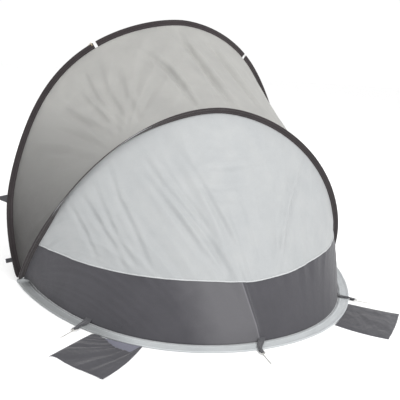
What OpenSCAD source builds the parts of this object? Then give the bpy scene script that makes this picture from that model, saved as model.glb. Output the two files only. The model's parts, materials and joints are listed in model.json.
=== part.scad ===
/* [Frame] */
// Half the distance between the two floor corners
half_span = 950; // [800:10:1150]
// Diameter of the spring-steel hoop wire
wire_d = 4; // [3:0.5:6]
// Height of the fold axis above the ground
axis_z = 8; // [6:0.5:14]

/* [Front hoop] */
// Forward lean of the front hoop, degrees
front_lean = 19.4; // [10:0.1:30]
// Height of the hoop's widest point, share of half_span
front_low = 0.386; // [0:0.001:0.6]
// Rise above the widest point, share of half_span
front_rise = 1.126; // [0.9:0.001:1.5]
// Squareness of the arch, 2 is an ellipse
front_square = 1.773; // [1.6:0.001:2.4]
// Shoulder width correction
front_waist = -0.135; // [-0.2:0.001:0.1]
// Forward bulge of the legs, share of half_span
front_bow = 0.298; // [0:0.001:0.5]
// how far the front hoop sways to the left half-way up, share of half the span
front_sway = 0.050; // [-0.1:0.001:0.15]

/* [Rear hoop] */
// Backward lean of the rear hoop, degrees
rear_lean = 12.03; // [0:0.01:30]
// In-plane height, share of half_span
rear_rise = 1.031; // [0.8:0.001:1.3]
// Squareness of the arch
rear_square = 1.835; // [1.6:0.001:2.4]
// Shoulder width correction
rear_waist = -0.0275; // [-0.1:0.0005:0.1]
// Backward bulge of the legs, share of half_span
rear_bow = 0.0785; // [0:0.0005:0.2]

/* [Floor] */
// Depth of the curved rear floor edge, share of half_span
floor_depth = 0.916; // [0.7:0.001:1.1]
// Squareness of the rear floor edge
floor_square = 1.988; // [1.6:0.001:2.4]
// Side correction of the rear floor edge
floor_waist = -0.044; // [-0.1:0.001:0.1]
// Depth of the shallow front edge, share of half_span
front_edge_depth = 0.150; // [0.05:0.01:0.4]
// Width of the rear hem strip
hem_w = 50; // [30:1:70]
// Width of the front hem strip
front_hem_w = 32; // [20:1:50]
// Thickness of the hem over its wire
hem_t = 8.4; // [7.6:0.1:12]
// Thickness of the ground sheet solid
sheet_t = 2; // [1:0.1:3]

/* [Sleeves] */
// Width of a hoop sleeve
sleeve_w = 30; // [24:1:40]
// Thickness of a hoop sleeve over its wire
sleeve_t = 8.4; // [7.6:0.1:12]
// Length share of the front hoop's bare gaps, from
gap_from = 0.358; // [0.3:0.0005:0.45]
// Length share of the front hoop's bare gaps, to
gap_to = 0.3625; // [0.3:0.0005:0.45]

/* [Fabric] */
// Thickness of the fabric solids
cloth_t = 2.4; // [2:0.1:4]
// Height of the seam between rear wall and skirt
seam_z = 243; // [150:1:350]

/* [Ground fittings] */
// Webbing width of the straps and loops
web_w = 21; // [18:1:26]
// Diameter of the D-ring wire
ring_wire_d = 3; // [2.5:0.1:4]
// Radius of the D-ring's bow
ring_r = 12; // [11:0.5:15]
// Diameter of the peg wire
peg_d = 4; // [3:0.1:5]
// Length of the peg shaft
peg_len = 70; // [50:1:180]
// Bend radius of the peg's hook
peg_bend = 5.5; // [5:0.1:7]

/* [Sand pockets] */
// Height of a sand pocket
pocket_h = 22; // [16:1:40]
// Wall thickness of a sand pocket
pocket_wall = 2.4; // [2:0.1:4]
// Distance kept between pocket and hem line
pocket_gap = 17; // [14:0.5:30]

/* [Hidden] */
W = half_span;
wire_z = hem_t / 2;
eps = 0.0008;
// kinds of curve: front hoop, rear hoop, rear floor edge, front floor edge
HF = 0;
HR = 1;
ER = 2;
EF = 3;

function unit(v) = v / norm(v);
function sp(v, n) = sign(v) * pow(abs(v), 2 / n);
function arch(u, c, b, n, k) =
    let (t0 = -asin(pow(c / b, n / 2)), t = t0 + (180 - 2 * t0) * u,
         z = max(0, c + b * sp(sin(t), n)))
    [-sp(cos(t), n) / sp(cos(t0), n) * (1 + k * sin(180 * min(1, z / (c + b)))), z];
function leaned(p, h, lean, bow, sway = 0) =
    let (s = p[1], o = 4 * s * (h - s) / (h * h))
    [W * (p[0] + sway * o), W * (s * sin(lean) + sign(lean) * bow * o), axis_z + W * s * cos(lean)];
function curve(k, u) =
    k == HF ? leaned(arch(u, front_low, front_rise, front_square, front_waist),
                     front_low + front_rise, -front_lean, front_bow, front_sway)
    : k == HR ? leaned(arch(u, 0, rear_rise, rear_square, rear_waist), rear_rise, rear_lean, rear_bow)
    : k == ER ? let (p = arch(u, 0, floor_depth, floor_square, floor_waist)) [W * p[0], W * p[1], wire_z]
    : let (x = 2 * u - 1) [W * x, -W * front_edge_depth * (1 - x * x), wire_z];
function plane_normal(k) =
    k == HF ? [0, cos(front_lean), sin(front_lean)]
    : k == HR ? [0, cos(rear_lean), -sin(rear_lean)]
    : k == ER ? [0, 0, -1] : [0, 0, 1];
function along(k, u) = unit(curve(k, u + eps) - curve(k, u - eps));
function outward(k, u) = unit(cross(along(k, u), plane_normal(k)));
function across(k, u) = cross(outward(k, u), along(k, u));
function at(k, u, r, n) = curve(k, u) + r * outward(k, u) + n * across(k, u);
function steps(u0, u1, m) = [for (i = [0 : m]) u0 + (u1 - u0) * i / m];
function circle_section(r, m) = [for (i = [0 : m - 1]) [r * cos(360 * i / m), r * sin(360 * i / m)]];
function box_section(r0, r1, h) = [[r1, h / 2], [r0, h / 2], [r0, -h / 2], [r1, -h / 2]];

// solid swept along a curve; with a second section it is a tube, open at both ends
module swept(k, us, outer, inner = []) {
    m = len(outer);
    q = len(inner);
    c = len(us);
    pts = concat(
        [for (u = us) for (s = outer) at(k, u, s[0], s[1])],
        [for (u = us) for (s = inner) at(k, u, s[0], s[1])]);
    b = m * c;
    side = [for (i = [0 : c - 2]) for (j = [0 : m - 1])
        [i * m + j, i * m + (j + 1) % m, (i + 1) * m + (j + 1) % m, (i + 1) * m + j]];
    inside = q == 0 ? [] : [for (i = [0 : c - 2]) for (j = [0 : q - 1])
        [b + i * q + j, b + (i + 1) * q + j, b + (i + 1) * q + (j + 1) % q, b + i * q + (j + 1) % q]];
    caps = q == 0
        ? [[for (j = [m - 1 : -1 : 0]) j], [for (j = [0 : m - 1]) (c - 1) * m + j]]
        : concat(
            [for (j = [0 : m - 1]) [j, b + j, b + (j + 1) % m, (j + 1) % m]],
            [for (j = [0 : m - 1])
                let (o = (c - 1) * m, e = b + (c - 1) * q)
                [o + j, o + (j + 1) % m, e + (j + 1) % m, e + j]]);
    polyhedron(points = pts, faces = concat(side, inside, caps), convexity = 12);
}

// closed skin of even thickness over a grid of points
function grid_normal(g, i, j) =
    let (a = g[min(i + 1, len(g) - 1)][j] - g[max(i - 1, 0)][j],
         b = g[i][min(j + 1, len(g[0]) - 1)] - g[i][max(j - 1, 0)])
    unit(cross(a, b));
module skin(g, t) {
    a = len(g);
    b = len(g[0]);
    n = a * b;
    pts = concat(
        [for (i = [0 : a - 1]) for (j = [0 : b - 1]) g[i][j] + grid_normal(g, i, j) * t / 2],
        [for (i = [0 : a - 1]) for (j = [0 : b - 1]) g[i][j] - grid_normal(g, i, j) * t / 2]);
    top = [for (i = [0 : a - 2]) for (j = [0 : b - 2]) for (f = [
        [i * b + j, i * b + j + 1, (i + 1) * b + j + 1],
        [i * b + j, (i + 1) * b + j + 1, (i + 1) * b + j]]) f];
    low = [for (f = top) [f[2] + n, f[1] + n, f[0] + n]];
    rim = concat(
        [for (i = [0 : a - 2]) for (f = [
            [i * b, (i + 1) * b, (i + 1) * b + n], [i * b, (i + 1) * b + n, i * b + n]]) f],
        [for (i = [0 : a - 2]) for (f = [
            [(i + 1) * b + b - 1, i * b + b - 1, i * b + b - 1 + n],
            [(i + 1) * b + b - 1, i * b + b - 1 + n, (i + 1) * b + b - 1 + n]]) f],
        [for (j = [0 : b - 2]) for (f = [
            [j + 1, j, j + n], [j + 1, j + n, j + 1 + n]]) f],
        [for (j = [0 : b - 2]) let (o = (a - 1) * b) for (f = [
            [o + j, o + j + 1, o + j + 1 + n], [o + j, o + j + 1 + n, o + j + n]]) f]);
    polyhedron(points = pts, faces = concat(top, low, rim), convexity = 10);
}

// panels: edges sit just off the sleeves and the hem
function roof_point(u, v) = at(HR, u, -10, -7) * (1 - v) + at(HF, u, -10, 7) * v;
function wall_foot(u) = at(ER, u, -hem_w - 5, 0) + [0, 0, 1.4];
function wall_top(u) = at(HR, u, -10, 7);
function wall_point(u, v) = wall_foot(u) * (1 - v) + wall_top(u) * v;
function seam_v(u) = min(1, (seam_z - wall_foot(u)[2]) / (wall_top(u)[2] - wall_foot(u)[2]));

// ground fittings are placed by a point on the rear edge
function edge_yaw(u) = let (o = outward(ER, u)) atan2(o[1], o[0]);
u_strap_left = 0.797;
u_strap_rear = 0.5;
u_strap_right = 0.203;
ring_x = 34;
strap_w = web_w - 3;
ring_z = peg_d / 2 + peg_bend;
module on_edge(u) {
    c = curve(ER, u);
    translate([c[0], c[1], 0]) rotate([0, 0, edge_yaw(u)]) children();
}

module strap(u) {
    on_edge(u) rotate([90, 0, 0]) translate([0, 0, -strap_w / 2]) linear_extrude(strap_w)
        difference() {
            union() {
                polygon([[-42, hem_t + 0.4], [8.5, hem_t + 0.4], [ring_x - 1, ring_z + 1.9],
                         [ring_x, ring_z + 3.7], [9.2, hem_t + 2.2], [-42, hem_t + 2.2]]);
                translate([ring_x, ring_z]) circle(r = 3.8, $fn = 32);
            }
            translate([ring_x, ring_z]) circle(r = 2.2, $fn = 32);
        }
}
module ring(u) {
    on_edge(u) translate([ring_x, 0, ring_z]) {
        rotate([90, 0, 0]) cylinder(r = ring_wire_d / 2, h = 2 * ring_r, center = true, $fn = 24);
        rotate([0, 0, -90]) rotate_extrude(angle = 180, $fn = 48)
            translate([ring_r, 0]) circle(r = ring_wire_d / 2, $fn = 24);
        for (s = [-1, 1]) translate([0, s * ring_r, 0]) sphere(r = ring_wire_d / 2, $fn = 24);
    }
}
module peg(u) {
    on_edge(u) translate([ring_x + ring_r, 0, ring_z]) {
        rotate([90, 0, 0]) rotate([0, 0, 90]) rotate_extrude(angle = 180, $fn = 48)
            translate([peg_bend, 0]) circle(r = peg_d / 2, $fn = 24);
        translate([0, 0, -peg_bend]) rotate([0, 90, 0]) cylinder(r = peg_d / 2, h = peg_len, $fn = 24);
        translate([peg_len, 0, -peg_bend]) rotate([0, 90, 0])
            cylinder(r1 = peg_d / 2, r2 = 0.6, h = 9, $fn = 24);
        translate([0, 0, peg_bend]) rotate([0, 90, 0]) cylinder(r = peg_d / 2, h = 11, $fn = 24);
    }
}

// pocket outline in its own seam frame: x away from the floor, y along the seam
module pocket_bag(a, b, out_a, out_b) {
    yaw = atan2(b[1] - a[1], b[0] - a[0]) - 90;
    l = norm(b - a);
    translate([a[0], a[1], 0]) rotate([0, 0, yaw]) difference() {
        linear_extrude(pocket_h) polygon([[pocket_gap, 0], out_a, out_b, [pocket_gap, l]]);
        translate([0, 0, pocket_wall]) linear_extrude(pocket_h - 2 * pocket_wall)
            polygon([[pocket_gap - 1, 5], [out_a[0] - 5, out_a[1] + 6],
                     [out_b[0] - 5, out_b[1] - 6], [pocket_gap - 1, l - 5]]);
    }
}
pl_a = [0.521 * W, 0.767 * W];
pl_b = [0.725 * W, 0.614 * W];
pr_a = [-0.729 * W, 0.594 * W];
pr_b = [-0.509 * W, 0.788 * W];

module corner_block(s) {
    x0 = W - 72;
    x1 = W + 8;
    translate([s > 0 ? x0 : -x1, -38, 0]) cube([x1 - x0, 58, hem_t]);
}
// frame on the front hoop: x outward, y along the leg
module on_leg(s, u) {
    v = s > 0 ? 1 - u : u;
    o = outward(HF, v);
    translate(at(HF, v, 5.6, 0)) rotate([0, -asin(o[2]), atan2(o[1], o[0])]) children();
}
module leg_loop_shape() {
    linear_extrude(web_w, center = true) difference() {
        union() {
            translate([0, -4.5]) square([27, 9]);
            translate([27, 0]) circle(r = 4.5, $fn = 32);
        }
        translate([2, -2.8]) square([25, 5.6]);
        translate([27, 0]) circle(r = 2.8, $fn = 32);
    }
}
module leg_loop(s) { on_leg(s, 0.022) leg_loop_shape(); }
module guy_tab(s) {
    on_leg(s, 0.098) rotate([90, 0, 0]) linear_extrude(2.4, center = true) difference() {
        polygon([[0, -23], [52, -6], [52, 6], [0, 23]]);
        translate([43, 0]) circle(r = 3.2, $fn = 32);
    }
}
module gap_collar(u) {
    e = (gap_to - gap_from) / 2 - 0.0004;
    color([0.86, 0.86, 0.84])
        swept(HF, steps(u - e, u + e, 3), circle_section(3.6, 16), circle_section(2.3, 16));
}

module floor_sheet() {
    color([0.62, 0.62, 0.61]) linear_extrude(sheet_t) intersection() {
        polygon(concat(
            [for (u = steps(0.012, 0.988, 60)) let (p = at(ER, u, -hem_w - 0.6, 0)) [p[0], p[1]]],
            [for (u = steps(0.96, 0.04, 30)) let (p = at(EF, u, -front_hem_w - 0.6, 0)) [p[0], p[1]]]));
        translate([-W + 74, -W]) square([2 * W - 148, 3 * W]);
    }
}
module hem_rear() {
    color([0.70, 0.70, 0.69]) swept(ER, steps(0.012, 0.988, 64),
        box_section(-hem_w, 6, hem_t), box_section(-3.2, 3.2, 5.6));
}
module hem_front() {
    color([0.70, 0.70, 0.69]) swept(EF, steps(0.048, 0.952, 30),
        box_section(-front_hem_w, 6, hem_t), box_section(-3.2, 3.2, 5.6));
}
module wire_floor_rear() {
    color([0.75, 0.76, 0.78]) swept(ER, steps(0.0112, 0.9888, 80), circle_section(wire_d / 2, 10));
}
module wire_floor_front() {
    color([0.75, 0.76, 0.78]) swept(EF, steps(0.0395, 0.9605, 40), circle_section(wire_d / 2, 10));
}
module corner_patch_left() { color([0.25, 0.23, 0.22]) corner_block(1); }
module corner_patch_right() { color([0.25, 0.23, 0.22]) corner_block(-1); }
module leg_loop_left() { color([0.30, 0.30, 0.30]) leg_loop(1); }
module leg_loop_right() { color([0.30, 0.30, 0.30]) leg_loop(-1); }
module strap_rear() { color([0.32, 0.32, 0.33]) strap(u_strap_rear); }
module strap_left() { color([0.32, 0.32, 0.33]) strap(u_strap_left); }
module strap_right() { color([0.32, 0.32, 0.33]) strap(u_strap_right); }
module ring_rear() { color([0.80, 0.80, 0.82]) ring(u_strap_rear); }
module ring_left() { color([0.80, 0.80, 0.82]) ring(u_strap_left); }
module ring_right() { color([0.80, 0.80, 0.82]) ring(u_strap_right); }
module wall_skirt() {
    color([0.37, 0.36, 0.39]) skin([for (u = steps(0.03, 0.97, 56))
        [for (j = [0 : 5]) let (v1 = seam_v(u)) wall_point(u, (v1 < 1 ? v1 - 0.004 : 1) * j / 5)]], cloth_t);
}
module wall_panel() {
    color([0.82, 0.84, 0.84]) skin([for (u = steps(0.1, 0.9, 50))
        [for (j = [0 : 8]) let (v1 = seam_v(u) + 0.004) wall_point(u, v1 + (1 - v1) * j / 8)]], cloth_t);
}
module wire_rear() {
    color([0.75, 0.76, 0.78]) swept(HR, steps(0.012, 0.988, 80), circle_section(wire_d / 2, 10));
}
module sleeve_rear() {
    color([0.20, 0.18, 0.17]) swept(HR, steps(0.016, 0.984, 80),
        box_section(5 - sleeve_w, 5, sleeve_t), box_section(-3.2, 3.2, 5.6));
}
module roof_canopy() {
    color([0.66, 0.66, 0.64]) skin([for (u = steps(0.03, 0.97, 60))
        [for (j = [0 : 10]) roof_point(u, j / 10)]], -cloth_t);
}
module wire_front() {
    color([0.75, 0.76, 0.78]) swept(HF, steps(0.012, 0.988, 100), circle_section(wire_d / 2, 10));
}
module sleeve_front_left() {
    color([0.20, 0.18, 0.17]) swept(HF, steps(1 - gap_from, 0.985, 44),
        box_section(5 - sleeve_w, 5, sleeve_t), box_section(-3.2, 3.2, 5.6));
}
module sleeve_front_top() {
    color([0.20, 0.18, 0.17]) swept(HF, steps(gap_to, 1 - gap_to, 26),
        box_section(5 - sleeve_w, 5, sleeve_t), box_section(-3.2, 3.2, 5.6));
}
module sleeve_front_right() {
    color([0.20, 0.18, 0.17]) swept(HF, steps(0.015, gap_from, 44),
        box_section(5 - sleeve_w, 5, sleeve_t), box_section(-3.2, 3.2, 5.6));
}
module gap_collar_left() { gap_collar(1 - (gap_from + gap_to) / 2); }
module gap_collar_right() { gap_collar((gap_from + gap_to) / 2); }
module guy_tab_left() { color([0.22, 0.20, 0.19]) guy_tab(1); }
module guy_tab_right() { color([0.22, 0.20, 0.19]) guy_tab(-1); }
module sand_pocket_left() {
    color([0.40, 0.39, 0.41]) pocket_bag(pl_b, pl_a, [228, -79], [302, 186]);
}
module sand_pocket_right() {
    color([0.40, 0.39, 0.41]) pocket_bag(pr_b, pr_a, [268, 22], [270, 331]);
}
module peg_rear() { color([0.80, 0.80, 0.82]) peg(u_strap_rear); }
module peg_left() { color([0.80, 0.80, 0.82]) peg(u_strap_left); }
module peg_right() { color([0.80, 0.80, 0.82]) peg(u_strap_right); }

floor_sheet();
hem_rear();
hem_front();
wire_floor_rear();
wire_floor_front();
corner_patch_left();
corner_patch_right();
leg_loop_left();
leg_loop_right();
strap_rear();
strap_left();
strap_right();
ring_rear();
ring_left();
ring_right();
wall_skirt();
wall_panel();
wire_rear();
sleeve_rear();
roof_canopy();
wire_front();
sleeve_front_left();
sleeve_front_top();
sleeve_front_right();
gap_collar_left();
gap_collar_right();
guy_tab_left();
guy_tab_right();
sand_pocket_left();
sand_pocket_right();
peg_rear();
peg_left();
peg_right();
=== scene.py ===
import json
import math

import bpy
import numpy as np
from mathutils import Matrix, Vector, noise

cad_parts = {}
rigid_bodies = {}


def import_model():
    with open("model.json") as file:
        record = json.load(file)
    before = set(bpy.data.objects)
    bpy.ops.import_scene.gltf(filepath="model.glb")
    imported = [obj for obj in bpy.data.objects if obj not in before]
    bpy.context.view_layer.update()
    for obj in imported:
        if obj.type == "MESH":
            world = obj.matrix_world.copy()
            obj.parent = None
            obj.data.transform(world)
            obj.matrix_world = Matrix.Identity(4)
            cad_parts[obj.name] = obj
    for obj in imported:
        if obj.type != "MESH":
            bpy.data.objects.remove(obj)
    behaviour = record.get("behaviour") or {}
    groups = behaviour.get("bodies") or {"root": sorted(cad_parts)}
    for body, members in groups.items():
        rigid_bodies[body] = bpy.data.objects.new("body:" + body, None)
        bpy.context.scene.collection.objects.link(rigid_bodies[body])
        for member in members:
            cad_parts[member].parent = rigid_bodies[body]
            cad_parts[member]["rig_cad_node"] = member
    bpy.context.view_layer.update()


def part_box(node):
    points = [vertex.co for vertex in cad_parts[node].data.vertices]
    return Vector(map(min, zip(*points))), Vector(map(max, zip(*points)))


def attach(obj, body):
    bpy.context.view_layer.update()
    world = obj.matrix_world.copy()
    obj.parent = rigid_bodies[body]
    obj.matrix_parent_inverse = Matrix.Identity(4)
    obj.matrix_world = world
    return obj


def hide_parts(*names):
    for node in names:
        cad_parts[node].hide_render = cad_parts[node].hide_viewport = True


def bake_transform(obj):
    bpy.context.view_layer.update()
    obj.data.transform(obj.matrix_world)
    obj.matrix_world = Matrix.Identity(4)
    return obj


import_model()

# ---------------------------------------------------------------- proportions; the curves are those of the CAD
HALF = 0.950  # half the corner-to-corner span
AXIS_Z = 0.008  # fold axis above the ground
HEM_Z = 0.0042  # centre of the floor wires
HEM_W = 0.050  # rear hem, across
HEM_FRONT_W = 0.032  # front hem, across
GAP = (0.358, 0.3625)  # bare gap on the front hoop, share of its length
FRONT_LEAN, REAR_LEAN = -19.4, 12.03  # degrees from upright, front hoop towards -Y
FRONT_LOW, FRONT_RISE = 0.386, 1.126  # widest point above the ends, and the top above that
REAR_RISE = 1.031
BACK_DEPTH = 0.916  # rear floor edge behind the corners
SILL_BOW = 0.15  # front floor edge ahead of the corners
SEAM_DEEP = 0.0262  # wire to the seam that holds roof and wall
SEAM_GAP = 0.0012  # seam beside the sleeve's middle
RIDGE = (-0.036, 0.243)  # ridge on the skirt, with painted light beside it and a painted highlight on its edge: x at the ground and x per metre up


def power(v, n):
    """signed power of a superellipse, n = 2 for a circle"""
    return np.sign(v) * np.abs(v) ** (2 / n)


def arch(u, low, rise, square, waist):
    """superellipse arch at share u along it, in half spans: sideways and up"""
    t0 = -math.asin((low / rise) ** (square / 2))
    t = t0 + (math.pi - 2 * t0) * u
    h = np.maximum(0, low + rise * power(np.sin(t), square))
    x = -power(np.cos(t), square) / power(math.cos(t0), square)
    return x * (1 + waist * np.sin(math.pi * np.minimum(1, h / (low + rise)))), h


def leaned(x, h, top, lean, bow, sway=0.0):
    """tips a flat arch over by its lean; it also bows out of its plane and sways to one side"""
    a = math.radians(lean)
    off = 4 * h * (top - h) / top**2
    y = h * math.sin(a) + bow * off * math.copysign(1, lean)
    return np.stack([HALF * (x + sway * off), HALF * y, AXIS_Z + HALF * h * math.cos(a)], -1)


def curve(k, u):
    """front: front hoop, rear: rear hoop, back: curved rear floor edge, sill: front floor edge"""
    u = np.asarray(u, float)
    if k == "front":
        x, h = arch(u, FRONT_LOW, FRONT_RISE, square=1.773, waist=-0.135)
        return leaned(x, h, FRONT_LOW + FRONT_RISE, FRONT_LEAN, bow=0.298, sway=0.050)
    if k == "rear":
        x, h = arch(u, 0, REAR_RISE, square=1.835, waist=-0.0275)
        return leaned(x, h, REAR_RISE, REAR_LEAN, bow=0.0785)
    if k == "back":
        x, h = arch(u, 0, BACK_DEPTH, square=1.988, waist=-0.044)
        return np.stack([HALF * x, HALF * h, HEM_Z + 0 * x], -1)
    x = 2 * u - 1
    return np.stack([HALF * x, -HALF * SILL_BOW * (1 - x * x), HEM_Z + 0 * x], -1)


# normal of the plane each curve lies in
PLANE = {
    "front": (0, math.cos(math.radians(FRONT_LEAN)), -math.sin(math.radians(FRONT_LEAN))),
    "rear": (0, math.cos(math.radians(REAR_LEAN)), -math.sin(math.radians(REAR_LEAN))),
    "back": (0, 0, -1),
    "sill": (0, 0, 1),
}


def unit(v):
    return v / np.maximum(np.linalg.norm(v, axis=-1, keepdims=True), 1e-12)


def axes(k, u):
    """along the curve, outward, and across (towards the rear on a hoop)"""
    u = np.asarray(u, float)
    a = unit(curve(k, u + 8e-4) - curve(k, u - 8e-4))
    o = unit(np.cross(a, np.array(PLANE[k], float)))
    return a, o, np.cross(o, a)


def at(k, u, r, n):
    """a point r outward and n across from the curve"""
    _, o, c = axes(k, u)
    r, n = np.asarray(r, float)[..., None], np.asarray(n, float)[..., None]
    return curve(k, u) + r * o + n * c


def step(x, a, b):
    """smooth step from 0 at a to 1 at b"""
    t = np.clip((np.asarray(x, float) - a) / (b - a), 0, 1)
    return t * t * (3 - 2 * t)


def noise_uv(a, b, sa, sb, seed):
    """noise over a grid of parameters"""
    points = zip(a.ravel() * sa, b.ravel() * sb)
    values = [noise.noise(Vector((x + seed, y + seed * 1.7, seed))) for x, y in points]
    return np.array(values).reshape(a.shape)


def noise_line(xs, scale, seed, third=0):
    """noise along a row of distances"""
    return np.array([noise.noise(Vector((x * scale, seed, third))) for x in xs])


def run_length(points):
    """distance along a row of points, from 0"""
    return np.concatenate([[0], np.cumsum(np.linalg.norm(np.diff(points, axis=0), axis=1))])


def crease(x):
    """turns smooth noise into soft-edged folds, about -1 to 1"""
    return 1 - 2 * np.abs(np.clip(x * 1.6, -1, 1))


def fold_lines(u, v, scale, lines):
    """long folds along given lines; each is (depth, width, points in u and v)"""
    out = np.zeros(np.broadcast(u, v).shape)
    x, y = u * scale[0] + 0 * v, v * scale[1] + 0 * u
    for depth, width, points in lines:
        p = np.array(points) * np.array(scale)
        run = run_length(p)
        best, side_, where = np.full(out.shape, 9.0), np.ones(out.shape), np.zeros(out.shape)
        for i in range(len(p) - 1):
            d = p[i + 1] - p[i]
            k = np.clip(((x - p[i, 0]) * d[0] + (y - p[i, 1]) * d[1]) / (d @ d), 0, 1)
            ex, ey = x - p[i, 0] - k * d[0], y - p[i, 1] - k * d[1]
            far = np.hypot(ex, ey)
            nearer = far < best
            best = np.where(nearer, far, best)
            side_ = np.where(nearer, np.sign(ex * d[1] - ey * d[0]), side_)
            where = np.where(nearer, (run[i] + k * math.hypot(*d)) / run[-1], where)
        q = side_ * best / width
        fade_ = np.clip(np.sin(math.pi * (0.04 + 0.92 * where)), 0, 1) ** 0.7
        # a valley with a high bank on one side and a low one on the other
        profile = 0.75 * np.exp(-((q - 1.15) ** 2)) - np.exp(-(q**2)) + 0.3 * np.exp(-((q + 1.9) ** 2))
        out += depth * fade_ * profile
    return out


# ---------------------------------------------------------------- camera
cam_data = bpy.data.cameras.new("camera")
cam = bpy.data.objects.new("camera", cam_data)
bpy.context.scene.collection.objects.link(cam)
bpy.context.scene.camera = cam
az, el, roll = math.radians(156.74), math.radians(16.90), 0.100
DISTANCE = 3.063  # half spans from the point looked at
FOCAL = 1.4515  # focal length as a share of the picture's width
SENSOR = 36  # millimetres
back = Vector((math.sin(az) * math.cos(el), -math.cos(az) * math.cos(el), math.sin(el)))
right = Vector((0, 0, 1)).cross(back).normalized()
up = back.cross(right)
r2 = right * math.cos(roll) + up * math.sin(roll)
u2 = up * math.cos(roll) - right * math.sin(roll)
target = Vector((0.113, 0.306, 0.546)) * HALF
place = target + back * DISTANCE * HALF
columns = (r2, u2, back, place)
cam.matrix_world = Matrix([[c[i] for c in columns] for i in range(3)] + [[0, 0, 0, 1]])
cam_data.sensor_width = SENSOR
cam_data.lens = SENSOR * FOCAL
cam_data.clip_start, cam_data.clip_end = 0.05, 60


# ---------------------------------------------------------------- materials
class Nodes:
    """a material's node tree, with short names for the nodes used here"""

    def __init__(self, name):
        self.m = bpy.data.materials.new(name)
        self.m.use_nodes = True
        self.t = self.m.node_tree
        self.p = self.t.nodes["Principled BSDF"]
        self.out = self.t.nodes["Material Output"]

    def new(self, kind, **values):
        n = self.t.nodes.new(kind)
        for k, v in values.items():
            setattr(n, k, v)
        return n

    def xyz(self, vector):
        n = self.new("ShaderNodeSeparateXYZ")
        self.link(vector, n.inputs[0])
        return n.outputs

    def link(self, a, b):
        self.t.links.new(a, b)

    def math(self, op, a, b=None):
        n = self.new("ShaderNodeMath", operation=op)
        for i, v in enumerate((a, b)):
            if v is None:
                continue
            if isinstance(v, (int, float)):
                n.inputs[i].default_value = v
            else:
                self.link(v, n.inputs[i])
        return n.outputs[0]

    def noise(self, vector, scale, detail=3, rough=0.5):
        n = self.new("ShaderNodeTexNoise")
        n.inputs["Scale"].default_value = scale
        n.inputs["Detail"].default_value = detail
        n.inputs["Roughness"].default_value = rough
        self.link(vector, n.inputs["Vector"])
        return n.outputs["Fac"]

    def mix(self, fac, a, b):
        n = self.new("ShaderNodeMix", data_type="RGBA")
        self.link(fac, n.inputs["Factor"])
        for sock, v in ((n.inputs[6], a), (n.inputs[7], b)):
            if isinstance(v, tuple):
                sock.default_value = (*v, 1)
            else:
                self.link(v, sock)
        return n.outputs[2]

    def range(self, value, a, b, lo, hi):
        n = self.new("ShaderNodeMapRange")
        self.link(value, n.inputs[0])
        for i, v in enumerate((a, b, lo, hi)):
            n.inputs[i + 1].default_value = v
        return n.outputs[0]

    def bump(self, height, strength, distance, under=None):
        n = self.new("ShaderNodeBump")
        n.inputs["Strength"].default_value = strength
        n.inputs["Distance"].default_value = distance
        self.link(height, n.inputs["Height"])
        if under is not None:
            self.link(under, n.inputs["Normal"])
        return n.outputs["Normal"]


def toned(color, times, plus=0.0):
    """a colour made lighter or darker"""
    return tuple(min(1, c * times + plus) for c in color)


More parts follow.
